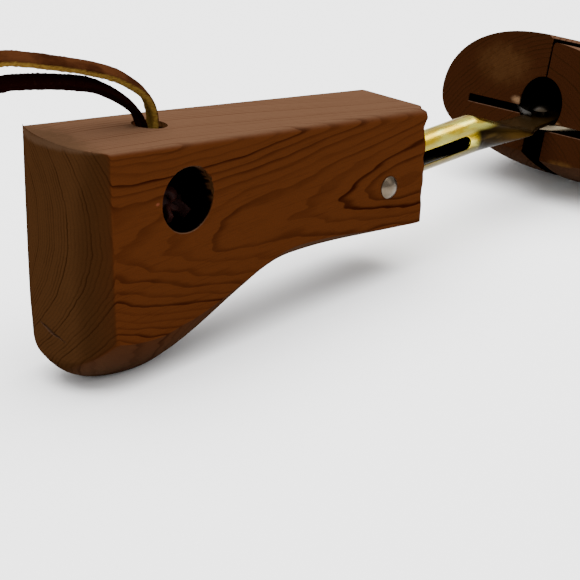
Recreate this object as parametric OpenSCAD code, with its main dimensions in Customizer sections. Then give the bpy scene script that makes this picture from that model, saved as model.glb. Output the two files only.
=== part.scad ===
// Split-toe shoe tree for a right shoe: cedar heel block, sprung slotted tube, forefoot in two halves.
// +X points to the toe, +Z up, and the tree stands on the floor at Z = 0.

/* [Overall] */
// Length from the back of the heel to the tip of the toe
tree_length = 322; // [318:1:330]
// Greatest width across the two forefoot halves
forefoot_w = 94; // [90:1:98]
// Height of the tube's axis above the floor
axis_h = 32.2; // [31:0.1:33]

/* [Heel block] */
// Width of the heel block at its rear corners
heel_rear_w = 38.5; // [36:0.5:42]
// Width of the heel block at its front end
heel_front_w = 33; // [31:0.5:36]
// Length of the sloping top, from the rear corners to the front end
heel_top_l = 136.8; // [130:0.2:142]
// Height of the top at the rear corners
heel_h = 74.5; // [72:0.5:78]
// Fall of the top towards the toe, in degrees
top_slope = 8.5; // [6:0.5:10]
// Radius of the hole through the sides
cross_hole_r = 9.9; // [9:0.1:11]
// Radius of the strap hole in the top
strap_hole_r = 5; // [4.5:0.1:5.5]

/* [Tube and spring] */
// Outer radius of the tube
tube_r = 6.65; // [6.4:0.05:6.8]
// Wall of the tube
tube_wall = 1; // [0.8:0.1:1.2]
// Radius of the rivet that crosses the heel block
rivet_r = 2.35; // [2.2:0.05:2.5]
// Travel of the tube into the heel block
tube_travel = 40; // [30:1:42]
// Wire radius of the spring
wire_r = 0.7; // [0.5:0.1:0.8]

/* [Forefoot] */
// Gap between the two halves
kerf = 1; // [0.8:0.1:1.4]
// Lean of the sawn rear face from upright, in degrees
face_lean = 18.5; // [15:0.5:20]
// Radius of the bore that takes the end of the tube
bore_r = 9.7; // [9.5:0.05:10]
// Width of the open channel below that bore
channel_w = 9; // [8:0.5:10]
// Height of the slot that each link works in
slot_h = 2.9; // [2.7:0.1:3.2]
// Swing of each half at its limit, in degrees
half_swing = 3.4; // [2:0.1:3.4]

/* [Links] */
// Thickness of each link
link_t = 1.8; // [1.6:0.1:2]
// Half the width of each link
link_hw = 5; // [4.5:0.1:5.2]

/* [Lace] */
// Width of the leather lace
lace_w = 5.2; // [4:0.1:6]
// Thickness of the leather lace
lace_t = 2.8; // [2:0.1:3]

/* [Hidden] */
$fn = 48;
eps = 0.01;
fit = 0.05;

// The forefoot's bore lies this much above the tube's axis
bore_rise = 1;
// The far corner of the heel block's back stands this much further back than the near one
back_skew = 1.4;
// The top rises this much from the near side to the far side
top_tilt = 1.6;

// The crowned soles would dip this far below the floor and are flat there, so the tree stands firmly
heel_dip = 2;
fore_dip = 1;

// Heel block
back_x = -tree_length / 2;
corner_x = back_x + 12;
front_x = corner_x + heel_top_l;
heel_mid_z = 37;
sole_flat_x = back_x + 33;
arch_x0 = back_x + 25;
arch_x1 = back_x + 88;
arch_h = 17;
front_sole_h = 13;
cross_hole_x = corner_x + 28.7;
cross_hole_z = heel_h - 22;
strap_hole_x = corner_x + 34;
strap_hole_y = 3.5;
rivet_x = corner_x + 116;
rivet_face_y = 17;
rivet_head_r = 3.7;
rivet_head_h = 1.8;

// Tube
tube_back_x = rivet_x - 11;
slot_hr = rivet_r + 0.1;
slot_front_x = corner_x + 168 - slot_hr;
round_end_x = 26;
flat_x = 48;
tongue_z = axis_h - 4.9;
tongue_t = 2;
tongue_hw = 9.8;
tongue_neck_hw = 6.8;
tongue_neck_x = 57;
pivot_x = 65;
pivot_r = 2;
tongue_end_r = 6.5;
heel_bore_r = tube_r + fit;
heel_bore_end = tube_back_x - 61;
spring_turns = 12;
spring_r = 5.6;

// Forefoot
toe_x = tree_length / 2;
hinge_x = toe_x - 3.5;
ball_x = 75;
half_w = forefoot_w / 2;
tip_y = 10;
face_x = 63.6;
fore_bore_end = 84;
slot_end_x = 90;
slot_reach = 33.5;
left_lift = 3.5;
link_gap = 0.05;
left_link_z = tongue_z + tongue_t + link_gap;
right_link_z = tongue_z - link_t - link_gap;

// Links: the outer pin sits ahead of the pivot, so that pushing the tube spreads the halves
pin_dx = 15;
pin_dy = 17;
link_pin_r = 1.75;
link_pin_top = 36;
link_lean0 = 12;
link_chord = norm([pin_dx, pin_dy]);
link_turn = 2 * (atan2(pin_dx, pin_dy) - link_lean0);
link_arc_r = link_chord / 2 / sin(link_turn / 2);

// Toe hinge
leaf_t = 0.8;
leaf_z0 = 8;
leaf_z1 = 16;
leaf_x0 = 130;
barrel_r = 2.1;
hinge_pin_r = 1.1;
knuckle_h = (leaf_z1 - leaf_z0) / 3;
leaf_root_x = hinge_x - barrel_r - 0.4;
screw_xs = [135.5, 146.5];
screw_r = 1;
screw_l = 9;

function mix(a, b, t) = a + (b - a) * t;
function clamp01(t) = max(0, min(1, t));
function ease(t) = (1 - cos(180 * clamp01(t))) / 2;
function top_z(x) = heel_h - tan(top_slope) * (x - corner_x);

// A solid through rings of equally many points, closed with a fan at each end
function ring_faces(count, rings) = concat(
    [for (j = [1:count - 2]) [0, j + 1, j]],
    [for (i = [0:rings - 2], j = [0:count - 1])
        each [[i * count + j, i * count + (j + 1) % count, (i + 1) * count + (j + 1) % count],
            [i * count + j, (i + 1) * count + (j + 1) % count, (i + 1) * count + j]]],
    [for (j = [1:count - 2]) [(rings - 1) * count, (rings - 1) * count + j, (rings - 1) * count + j + 1]]
);
module ring_solid(rings) {
    polyhedron([for (r = rings) each r], ring_faces(len(rings[0]), len(rings)), convexity = 6);
}

// Outline of the heel block across the width: crowned sole, upright sides, eased top edges
function heel_half_w(x) = mix(heel_rear_w, heel_front_w, max(0, x - corner_x) / heel_top_l) / 2;
function back_round(x) = let(t = clamp01((sole_flat_x - x) / (sole_flat_x - back_x)))
    13 * (1 - sqrt(max(0, 1 - pow(t, 2.5))));
function sole_z(x) = x < arch_x1
    ? back_round(x) + mix(-heel_dip, arch_h, ease((x - arch_x0) / (arch_x1 - arch_x0)))
    : mix(arch_h, front_sole_h, ease((x - arch_x1) / (front_x - arch_x1)));
function crown(x) = min(12, max(3, 12 - 0.085 * (x - back_x - 35)))
    + 3 * clamp01((back_x + 65 - x) / 30);
function top_r(x) = mix(1.8, 3.6, clamp01((x - corner_x) / heel_top_l));
function heel_half(x) = let(b = heel_half_w(x), s = sole_z(x), c = crown(x), r = top_r(x), t = top_z(x))
    concat(
        [for (v = [0, 0.28, 0.55, 0.75, 0.9]) [v * b, max(0, s + c * v * v)]],
        [for (k = [0:3]) [b, mix(s + c, t - r, k / 3)]],
        [for (a = [30, 60, 90]) [b - r + r * cos(a), t - r + r * sin(a)]],
        [for (v = [0.6, 0.3, 0]) [v * b, t]]
    );
function mirrored(half) = concat(half,
    [for (k = [len(half) - 2:-1:1]) [-half[k][0], half[k][1], half[k][2]]]);
function side_back_x(z) = corner_x - 0.045 * (heel_h - z);
function back_sag(z) = 9.45 - 2.4 * pow((z - 28) / 46.5, 2);
function heel_back(y, z) = side_back_x(z)
    - back_sag(z) * (1 - pow(min(1, abs(y) / (heel_rear_w / 2)), 2.5));
function heel_front(z) = front_x - (top_z(front_x) - z) * tan(top_slope);
function heel_x(p, u) = mix(heel_back(p[0], p[1]), heel_front(p[1]), u);
// How far back a point is moved by the skew, all of it at the back and none at the front (u = 1)
function skew(y, z, u) = back_skew * pow(max(0, 2 * y / heel_rear_w), 2) * clamp01(z / 25) * (1 - u);
function tilt(y, z) = top_tilt * (1 + 2 * y / heel_rear_w) / 2 * clamp01((z - heel_mid_z) / 30);
function skewed(ring, u) = [for (p = ring)
    [p[0], p[1] + tilt(p[0], p[1]), p[2] - skew(p[0], p[1], u)]];
// Each point's height comes from the outline at its own place along the block
function heel_ring(u) = let(first = heel_half(mix(corner_x - 6, front_x - 3, u)))
    mirrored([for (k = [0:len(first) - 1])
        let(second = heel_half(heel_x(first[k], u)), p = heel_half(heel_x(second[k], u))[k])
            [p[0], p[1], heel_x(p, u)]]);
function heel_cap_ring(s) = [for (p = heel_ring(0))
    let(q = [p[0] * s, heel_mid_z + (p[1] - heel_mid_z) * s]) [q[0], q[1], heel_back(q[0], q[1])]];
function upright(ring) = [for (p = ring) [p[2], p[0], p[1]]];

module heel_block() {
    color("peru") difference() {
        ring_solid(concat(
            [for (s = [0.03, 0.3, 0.6, 0.85]) upright(skewed(heel_cap_ring(s), 0))],
            [for (u = [0, 0.02, 0.05, 0.1, 0.15, 0.195, 0.24, 0.32, 0.38, 0.45, 0.52, 0.6, 0.75, 0.9, 1])
                upright(skewed(heel_ring(u), u))]
        ));
        translate([cross_hole_x, 0, cross_hole_z]) rotate([90, 0, 0])
            cylinder(r = cross_hole_r, h = 2 * heel_rear_w, center = true);
        translate([strap_hole_x, strap_hole_y, top_z(strap_hole_x)]) rotate([0, top_slope, 0])
            translate([0, 0, -14]) cylinder(r = strap_hole_r, h = 30);
        translate([heel_bore_end, 0, axis_h]) rotate([0, 90, 0]) cylinder(r = heel_bore_r, h = 150);
        translate([rivet_x, 0, axis_h]) rotate([90, 0, 0])
            cylinder(r = rivet_r, h = 2 * heel_rear_w, center = true);
    }
}

// Domed head whose flat back faces the block's side
module rivet_head(r, h) {
    dome_r = (r * r + h * h) / (2 * h);
    rotate_extrude() intersection() {
        translate([0, h - dome_r]) circle(r = dome_r, $fn = 96);
        square([r, h]);
    }
}

module heel_rivet() {
    color("silver") {
        translate([rivet_x, -rivet_face_y, axis_h]) rotate([90, 0, 0])
            rivet_head(rivet_head_r, rivet_head_h);
        translate([rivet_x, rivet_face_y, axis_h]) rotate([90, 0, 0])
            cylinder(r = rivet_r, h = 2 * rivet_face_y);
    }
}

module heel_rivet_cap() {
    color("silver") translate([rivet_x, rivet_face_y, axis_h]) rotate([-90, 0, 0])
        rivet_head(rivet_head_r, rivet_head_h);
}

// Slotted tube, pressed flat at the front into a tongue that carries the pivot
module stem_tube() {
    color("gold") difference() {
        union() {
            translate([tube_back_x, 0, axis_h]) rotate([0, 90, 0])
                cylinder(r = tube_r, h = round_end_x - tube_back_x);
            hull() {
                translate([round_end_x, 0, axis_h]) rotate([0, 90, 0])
                    cylinder(r = tube_r, h = eps, $fn = 32);
                translate([flat_x, -tongue_hw, tongue_z]) cube([eps, 2 * tongue_hw, tongue_t]);
            }
            translate([0, 0, tongue_z]) linear_extrude(tongue_t) polygon([
                [flat_x, -tongue_hw], [tongue_neck_x, -tongue_neck_hw], [pivot_x, -tongue_end_r],
                [pivot_x, tongue_end_r], [tongue_neck_x, tongue_neck_hw], [flat_x, tongue_hw]]);
            translate([pivot_x, 0, tongue_z]) cylinder(r = tongue_end_r, h = tongue_t);
        }
        translate([tube_back_x - 1, 0, axis_h]) rotate([0, 90, 0])
            cylinder(r = tube_r - tube_wall, h = round_end_x - tube_back_x + 1);
        hull() {
            translate([round_end_x - eps, 0, axis_h]) rotate([0, 90, 0])
                cylinder(r = tube_r - tube_wall, h = eps, $fn = 32);
            translate([flat_x - 6, -5, tongue_z + 0.8]) cube([eps, 10, 0.4]);
        }
        for (x = [rivet_x - 0.1, slot_front_x]) translate([x, 0, axis_h]) rotate([90, 0, 0])
            cylinder(r = slot_hr, h = 3 * tube_r, center = true);
        translate([rivet_x - 0.1, -1.5 * tube_r, axis_h - slot_hr])
            cube([slot_front_x - rivet_x + 0.1, 3 * tube_r, 2 * slot_hr]);
        translate([pivot_x, 0, tongue_z - 1]) cylinder(r = pivot_r + fit, h = tongue_t + 2);
    }
}

// Compression spring behind the tube, in the blind bore of the heel block
spring_x0 = heel_bore_end + wire_r + 0.1;
spring_x1 = tube_back_x - wire_r - 0.1;
spring_steps = 12;
function spring_ring(k) = let(a = 360 * k / spring_steps, t = k / (spring_steps * spring_turns))
    [for (j = [0:5]) let(r = spring_r + wire_r * cos(60 * j))
        [mix(spring_x0, spring_x1, t) + wire_r * sin(60 * j), r * cos(a), axis_h + r * sin(a)]];
module stem_spring() {
    color("dimgray") ring_solid([for (k = [0:spring_steps * spring_turns]) spring_ring(k)]);
}

// Vertical rivet that pins both links to the tongue
head_z = left_link_z + link_t + link_gap;
washer_t = 0.5;
washer_z = right_link_z - link_gap - washer_t;
module link_rivet() {
    color("silver") translate([pivot_x, 0, 0]) {
        translate([0, 0, washer_z]) cylinder(r = pivot_r, h = head_z - washer_z + eps);
        translate([0, 0, head_z]) rivet_head(3.4, 1.6);
        translate([0, 0, washer_z]) mirror([0, 0, 1]) rivet_head(3, 1.1);
    }
}
module link_washer() {
    color("silver") translate([pivot_x, 0, washer_z]) difference() {
        cylinder(r = 3.6, h = washer_t);
        translate([0, 0, -1]) cylinder(r = pivot_r, h = 3);
    }
}

// Curved flat link: round hole at the pivot, lengthened hole at the outer pin
module link_shape() {
    difference() {
        union() {
            translate([link_arc_r * cos(link_lean0), -link_arc_r * sin(link_lean0), 0])
                rotate([0, 0, 180 - link_lean0 - link_turn]) rotate_extrude(angle = link_turn)
                    translate([link_arc_r - link_hw, 0]) square([2 * link_hw, link_t]);
            cylinder(r = link_hw + 0.5, h = link_t);
            translate([pin_dx, pin_dy, 0]) cylinder(r = link_hw + 0.4, h = link_t);
        }
        translate([0, 0, -1]) cylinder(r = pivot_r + fit, h = link_t + 2);
        for (d = [0, 0.6]) translate([pin_dx * (1 - d / link_chord), pin_dy * (1 - d / link_chord), -1])
            cylinder(r = link_pin_r + 0.12, h = link_t + 2);
    }
}
module link_left() {
    color("gainsboro") translate([pivot_x, 0, left_link_z]) link_shape();
}
module link_right() {
    color("gainsboro") translate([pivot_x, 0, right_link_z]) mirror([0, 1, 0]) link_shape();
}

// Outer pins, driven up into the wood from below
module link_pin(side, z0) {
    color("silver") translate([pivot_x + pin_dx, side * pin_dy, z0])
        cylinder(r = link_pin_r, h = link_pin_top - z0);
}
module link_pin_left() { link_pin(1, 8); }
module link_pin_right() { link_pin(-1, 6); }

// Forefoot outline in plan: the medial side (+Y) runs on to the tip, the lateral side curves in earlier
function past_ball(x) = clamp01((x - ball_x) / (toe_x - ball_x));
function arc_in(t, p) = sqrt(max(0, 1 - pow(t, p)));
function rear_narrow(x) = 0.003 * pow(max(0, ball_x - x), 2);
function left_out(x) = tip_y + (half_w - tip_y) * arc_in(past_ball(x), 2.6) - rear_narrow(x);
function right_out(x) = (half_w + tip_y) * arc_in(past_ball(x), 1.9) - tip_y - rear_narrow(x);
function inner(x) = max(kerf / 2, -right_out(x));
function nose(x) = max(0.2, arc_in(past_ball(x), 8));
function fore_sole(x, rear_h) = (rear_h + fore_dip) * pow(clamp01((92 - x) / 35), 2) - fore_dip
    + 6 * pow(clamp01((x - 112) / 49), 2);
function fore_mid(x, rear_h) = mix(rear_h, 12, clamp01((x - 64) / 88));
function fore_top(x) = 54 - 0.37 * (x - 71);

// One ring of a half: up the outside from the sole to the top, then closed along the sawn face
function half_ring(x, y0, out, sole, mid, top, p) = let(
        w = max(0.4, out - y0), up = (top - mid) * nose(x), down = (mid - sole) * nose(x))
    concat(
        [for (a = [0, 12, 24, 38, 52, 66, 78, 90])
            [x, y0 + w * pow(sin(a), 2 / 3), max(0, mid - down * cos(a))]],
        [for (a = [78, 66, 52, 38, 24, 12, 0]) [x, y0 + w * pow(sin(a), 2 / p), mid + up * cos(a)]]
    );
fore_xs = [54, 60, 66, 71, 75, 82, 91, 99, 108, 117, 125, 133, 140, 146, 151, 154, 157.8];
module fore_blank_left() {
    ring_solid([for (x = concat(fore_xs, [160, toe_x])) half_ring(x, inner(x), left_out(x),
        fore_sole(x, 18), fore_mid(x, 32), fore_top(x) + left_lift, 2.4)]);
}
module fore_blank_right() {
    mirror([0, 1, 0]) ring_solid([for (x = concat(fore_xs, [159.4])) half_ring(x, kerf / 2, right_out(x),
        fore_sole(x, 15.5), fore_mid(x, 32), fore_top(x) + 1, 1.7)]);
}

// What is cut from both halves: rear face, bore, channel, link slot, hinge notch
module fore_cuts(side, link_z) {
    translate([face_x, 0, axis_h]) rotate([0, face_lean, 0]) translate([-40, -60, -60]) cube([40, 120, 120]);
    translate([0, 0, axis_h + bore_rise]) rotate([0, 90, 0]) cylinder(r = bore_r, h = fore_bore_end);
    translate([0, -channel_w / 2, -5]) cube([fore_bore_end - 4, channel_w, axis_h + 5]);
    translate([0, side > 0 ? -1 : -slot_reach, link_z + link_t / 2 - slot_h / 2])
        cube([slot_end_x, slot_reach + 1, slot_h]);
    translate([leaf_root_x, -barrel_r - 0.6, leaf_z0 - 0.5])
        cube([20, 2 * barrel_r + 1.2, leaf_z1 - leaf_z0 + 1]);
    translate([leaf_x0 - 0.2, -leaf_t - 0.1, leaf_z0 - 0.2])
        cube([leaf_root_x - leaf_x0 + 1, 2 * leaf_t + 0.2, leaf_z1 - leaf_z0 + 0.4]);
    for (x = screw_xs) translate([x, 0, (leaf_z0 + leaf_z1) / 2]) rotate([-side * 90, 0, 0])
        cylinder(r = screw_r, h = screw_l + leaf_t + 0.1);
    translate([pivot_x + pin_dx, side * pin_dy, -1]) cylinder(r = link_pin_r, h = link_pin_top + 1);
}

module forefoot_left() {
    color("sienna") difference() {
        fore_blank_left();
        fore_cuts(1, left_link_z);
    }
}
module forefoot_right() {
    color("sienna") difference() {
        fore_blank_right();
        fore_cuts(-1, right_link_z);
    }
}

// Small butt hinge let into the sawn faces at the toe; its barrel sits in a notch
module leaf(side, knuckles) {
    difference() {
        union() {
            translate([leaf_x0, side > 0 ? 0.1 : -leaf_t - 0.1, leaf_z0])
                cube([leaf_root_x - leaf_x0, leaf_t, leaf_z1 - leaf_z0]);
            for (k = knuckles) translate([0, 0, leaf_z0 + k * knuckle_h + 0.05]) {
                translate([leaf_root_x - eps, side > 0 ? 0.1 : -leaf_t - 0.1, 0])
                    cube([barrel_r, leaf_t, knuckle_h - 0.1]);
                translate([hinge_x, 0, 0]) cylinder(r = barrel_r, h = knuckle_h - 0.1);
            }
        }
        translate([hinge_x, 0, 0]) cylinder(r = hinge_pin_r + fit, h = 30);
        for (x = screw_xs) translate([x, side * 1.5, (leaf_z0 + leaf_z1) / 2]) rotate([side * 90, 0, 0])
            cylinder(r1 = screw_r - 0.1, r2 = screw_r + 1.2, h = 2);
    }
}
module toe_hinge_leaf_left() { color("goldenrod") leaf(1, [0, 2]); }
module toe_hinge_leaf_right() { color("goldenrod") leaf(-1, [1]); }
module toe_hinge_pin() {
    color("silver") translate([hinge_x, 0, leaf_z0 - 0.3])
        cylinder(r = hinge_pin_r, h = leaf_z1 - leaf_z0 + 0.6);
}

// Two countersunk screws for each leaf
module hinge_screws(side) {
    for (x = screw_xs)
        translate([x, side * (leaf_t + 0.1), (leaf_z0 + leaf_z1) / 2]) rotate([-side * 90, 0, 0]) {
            cylinder(r = screw_r, h = screw_l);
            translate([0, 0, -leaf_t + 0.15])
                cylinder(r1 = screw_r + 0.75, r2 = screw_r - 0.2, h = leaf_t - 0.15);
        }
}
module hinge_screws_left() { color("goldenrod") hinge_screws(1); }
module hinge_screws_right() { color("goldenrod") hinge_screws(-1); }

// Leather lace: up through the strap hole, back over the heel in an arch, round, and down again
lace_route = [
    [-118.5, 54.5], [-115.6, 61], [-113.9, 69], [-113.6, 73], [-114.5, 77], [-117, 81], [-121, 84.5],
    [-126, 88], [-132, 91], [-140, 94.2], [-148, 97], [-157, 100], [-166, 102.6], [-175, 103.2],
    [-183, 100.5], [-188.5, 95], [-191, 88], [-190, 81], [-186, 77], [-181.5, 79], [-179.5, 85],
    [-177.5, 91], [-173, 94.8], [-167, 95.4], [-159, 94], [-151, 92.2], [-143, 90], [-136, 87.6],
    [-130, 84.2], [-125, 80.6], [-121, 76.8], [-118.8, 73], [-118, 69], [-119.2, 61], [-122.5, 55]
];
lace_y = strap_hole_y;
lace_dirs = [for (k = [0:len(lace_route) - 1])
    let(d = lace_route[min(k + 1, len(lace_route) - 1)] - lace_route[max(k - 1, 0)]) d / norm(d)];
function lace_side(k) = let(n = [-lace_dirs[k][1], lace_dirs[k][0]], w = lace_w / 2, t = lace_t / 2)
    [for (q = [[1, 0.5], [0.75, 1], [-0.75, 1], [-1, 0.5], [-1, -0.5], [-0.75, -1], [0.75, -1], [1, -0.5]])
        [lace_route[k][0] + n[0] * t * q[1], lace_y + w * q[0], lace_route[k][1] + n[1] * t * q[1]]];
module lace_loop() {
    color("saddlebrown") ring_solid([for (k = [0:len(lace_route) - 1]) lace_side(k)]);
}

// Knot that keeps the lace from pulling out, inside the cross hole
module lace_knot() {
    color("maroon") hull() {
        translate([-120.5, -8.5, 50.4]) sphere(r = 5.6, $fn = 20);
        translate([-121.5, 4, 50]) sphere(r = 5.6, $fn = 20);
    }
}

heel_block();
heel_rivet();
heel_rivet_cap();
stem_tube();
stem_spring();
link_rivet();
link_washer();
link_left();
link_right();
link_pin_left();
link_pin_right();
forefoot_left();
forefoot_right();
toe_hinge_leaf_left();
toe_hinge_leaf_right();
toe_hinge_pin();
hinge_screws_left();
hinge_screws_right();
lace_loop();
lace_knot();
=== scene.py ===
import math

import bmesh
import bpy
import numpy as np
from mathutils import Matrix, Vector, noise


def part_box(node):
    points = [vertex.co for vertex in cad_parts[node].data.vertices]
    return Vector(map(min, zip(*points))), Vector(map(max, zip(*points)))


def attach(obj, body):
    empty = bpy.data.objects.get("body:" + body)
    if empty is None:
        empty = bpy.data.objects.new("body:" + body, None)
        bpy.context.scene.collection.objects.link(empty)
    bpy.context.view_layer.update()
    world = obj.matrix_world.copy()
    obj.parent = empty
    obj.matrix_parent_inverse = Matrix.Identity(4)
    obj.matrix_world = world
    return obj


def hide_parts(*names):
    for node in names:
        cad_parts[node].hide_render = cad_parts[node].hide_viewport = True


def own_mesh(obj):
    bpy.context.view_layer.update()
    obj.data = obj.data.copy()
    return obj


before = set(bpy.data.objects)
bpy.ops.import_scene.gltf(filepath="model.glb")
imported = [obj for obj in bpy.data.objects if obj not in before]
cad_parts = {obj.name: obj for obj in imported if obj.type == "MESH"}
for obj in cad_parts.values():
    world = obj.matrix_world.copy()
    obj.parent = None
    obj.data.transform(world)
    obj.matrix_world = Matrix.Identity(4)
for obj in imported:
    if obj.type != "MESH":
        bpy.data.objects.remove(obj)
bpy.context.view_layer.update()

MM = 0.001


def box_mm(node):
    """The lowest and highest corner of a CAD node, in millimetres."""
    low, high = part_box(node)
    return low / MM, high / MM


def middle_mm(node):
    """The middle of a CAD node's box, in millimetres."""
    low, high = box_mm(node)
    return (low + high) / 2


# ---------------------------------------------------------------- camera
camera = bpy.data.objects.new("camera", bpy.data.cameras.new("camera"))
bpy.context.scene.collection.objects.link(camera)
bpy.context.scene.camera = camera
camera.data.sensor_width = 36
camera.data.lens = 136.55
camera.data.clip_start = 0.01
camera.data.clip_end = 50
looking = Vector((0.6357, 0.6762, -0.3724)).normalized()
across = Vector((0.7161, -0.6967, -0.0426))
across = (across - across.dot(looking) * looking).normalized()
camera.matrix_world = Matrix.Translation((-0.5205, -0.4864, 0.2691)) @ Matrix(
    (across, across.cross(looking), -looking)).transposed().to_4x4()


# ---------------------------------------------------------------- meshes
def new_object(name, verts, faces):
    """A mesh object from points in millimetres, with its faces turned outwards."""
    mesh = bpy.data.meshes.new(name)
    mesh.from_pydata([Vector(v) * MM for v in verts], [], [tuple(f) for f in faces])
    mesh.validate()
    shape = bpy.data.objects.new(name, mesh)
    bpy.context.scene.collection.objects.link(shape)
    fix_normals(mesh)
    return shape


def fix_normals(mesh):
    """Turns every face outwards."""
    bm = bmesh.new()
    bm.from_mesh(mesh)
    bmesh.ops.recalc_face_normals(bm, faces=bm.faces)
    bm.to_mesh(mesh)
    bm.free()


def loft(name, rings, closed=False):
    """A skin of quads through rings of equally many points. It is capped unless it closes on itself."""
    n = len(rings[0])
    verts = [p for ring in rings for p in ring]
    count = len(rings)
    faces = []
    for i in range(count if closed else count - 1):
        a, b = i * n, (i + 1) % count * n
        faces += [(a + j, a + (j + 1) % n, b + (j + 1) % n, b + j) for j in range(n)]
    if not closed:
        for start in (0, (count - 1) * n):
            verts.append(tuple(np.mean(verts[start:start + n], axis=0)))
            faces += [(start + j, start + (j + 1) % n, len(verts) - 1) for j in range(n)]
    return new_object(name, verts, faces)


def lathe(name, profile, origin, axis, sides=72, wobble=None):
    """A solid turned from (radius, height) points about an axis through origin."""
    turn = Vector((0, 0, 1)).rotation_difference(Vector(axis)).to_matrix()
    rings = []
    for radius, height in profile:
        ring = []
        for k in range(sides):
            a = 2 * math.pi * k / sides
            r = radius if wobble is None else wobble(radius, a, height)
            ring.append(Vector(origin) + turn @ Vector((r * math.cos(a), r * math.sin(a), height)))
        rings.append(ring)
    return loft(name, rings)


def block(low, high, tilt=0.0, about=(0, 0, 0)):
    """A box for cutting, turned by tilt degrees about +Y through a point."""
    corners = [(x, y, z) for x in (low[0], high[0]) for y in (low[1], high[1]) for z in (low[2], high[2])]
    faces = [(0, 1, 3, 2), (4, 6, 7, 5), (0, 4, 5, 1), (2, 3, 7, 6), (0, 2, 6, 4), (1, 5, 7, 3)]
    turn = Matrix.Rotation(math.radians(tilt), 3, "Y")
    return new_object("cutter", [Vector(about) + turn @ (Vector(c) - Vector(about)) for c in corners], faces)


def apply_modifiers(shape):
    """Puts the result of a shape's modifiers into its mesh."""
    bpy.context.view_layer.update()
    graph = bpy.context.evaluated_depsgraph_get()
    mesh = bpy.data.meshes.new_from_object(shape.evaluated_get(graph))
    shape.modifiers.clear()
    shape.data = mesh


def cut(shape, cutters):
    """Takes each cutter away from a shape, and removes the cutters."""
    for cutter in cutters:
        take = shape.modifiers.new("cut", "BOOLEAN")
        take.operation = "DIFFERENCE"
        take.solver = "EXACT"
        take.object = cutter
    apply_modifiers(shape)
    for cutter in cutters:
        bpy.data.objects.remove(cutter)


def ease_edges(shape, width, angle=35, segments=2):
    """Rounds the edges that turn by more than angle degrees."""
    bevel = shape.modifiers.new("edges", "BEVEL")
    bevel.width = width * MM
    bevel.segments = segments
    bevel.limit_method = "ANGLE"
    bevel.angle_limit = math.radians(angle)
    bevel.harden_normals = False
    apply_modifiers(shape)


def smooth(shape, angle=35):
    """Smooth shading, with edges sharper than angle degrees left crisp."""
    shape.data.shade_smooth()
    shape.data.set_sharp_from_angle(angle=math.radians(angle))


def finish_piece(shape, body, nodes, material, angle=35):
    """Gives a piece its looks, hangs it on its body, and hides the CAD nodes it stands for."""
    smooth(shape, angle)
    shape.data.materials.clear()
    shape.data.materials.append(material)
    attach(shape, body)
    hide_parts(*nodes)


def mix(a, b, t):
    """From a at t = 0 to b at t = 1."""
    return a + (b - a) * t


def clamp01(t):
    return np.clip(t, 0, 1)


def wave(x, y, z, size, seed=0.0):
    """Smooth noise from about -1 to 1 that varies over size millimetres."""
    return noise.noise(Vector((x / size + seed, y / size, z / size)))


# ---------------------------------------------------------------- materials
class Value:
    """A number in a node tree: arithmetic on it adds Math nodes."""

    def __init__(self, tree, socket):
        self.tree, self.socket = tree, socket

    def _math(self, operation, *others):
        node = self.tree.nodes.new("ShaderNodeMath")
        node.operation = operation
        for socket, value in zip(node.inputs, (self, *others)):
            plug(self.tree, socket, value)
        return Value(self.tree, node.outputs[0])

    def __add__(self, other): return self._math("ADD", other)
    def __sub__(self, other): return self._math("SUBTRACT", other)
    def __mul__(self, other): return self._math("MULTIPLY", other)
    def __truediv__(self, other): return self._math("DIVIDE", other)
    def __pow__(self, other): return self._math("POWER", other)
    def __neg__(self): return self * -1
    def floor(self): return self._math("FLOOR")
    def fract(self): return self._math("FRACT")
    def exp(self): return self._math("EXPONENT")
    def root(self): return self._math("SQRT")
    def size(self): return self._math("ABSOLUTE")
    def least(self, other): return self._math("MINIMUM", other)
    def most(self, other): return self._math("MAXIMUM", other)

    def ramp(self, start, end):
        """0 below start, 1 above end, smooth between."""
        node = self.tree.nodes.new("ShaderNodeMapRange")
        node.interpolation_type = "SMOOTHSTEP"
        plug(self.tree, node.inputs["Value"], self)
        node.inputs["From Min"].default_value = start
        node.inputs["From Max"].default_value = end
        return Value(self.tree, node.outputs["Result"])


def plug(tree, socket, value):
    if isinstance(value, Value):
        tree.links.new(value.socket, socket)
    elif isinstance(value, tuple) and len(value) == 3 and socket.type == "RGBA":
        socket.default_value = (*value, 1)
    else:
        socket.default_value = value


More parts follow.
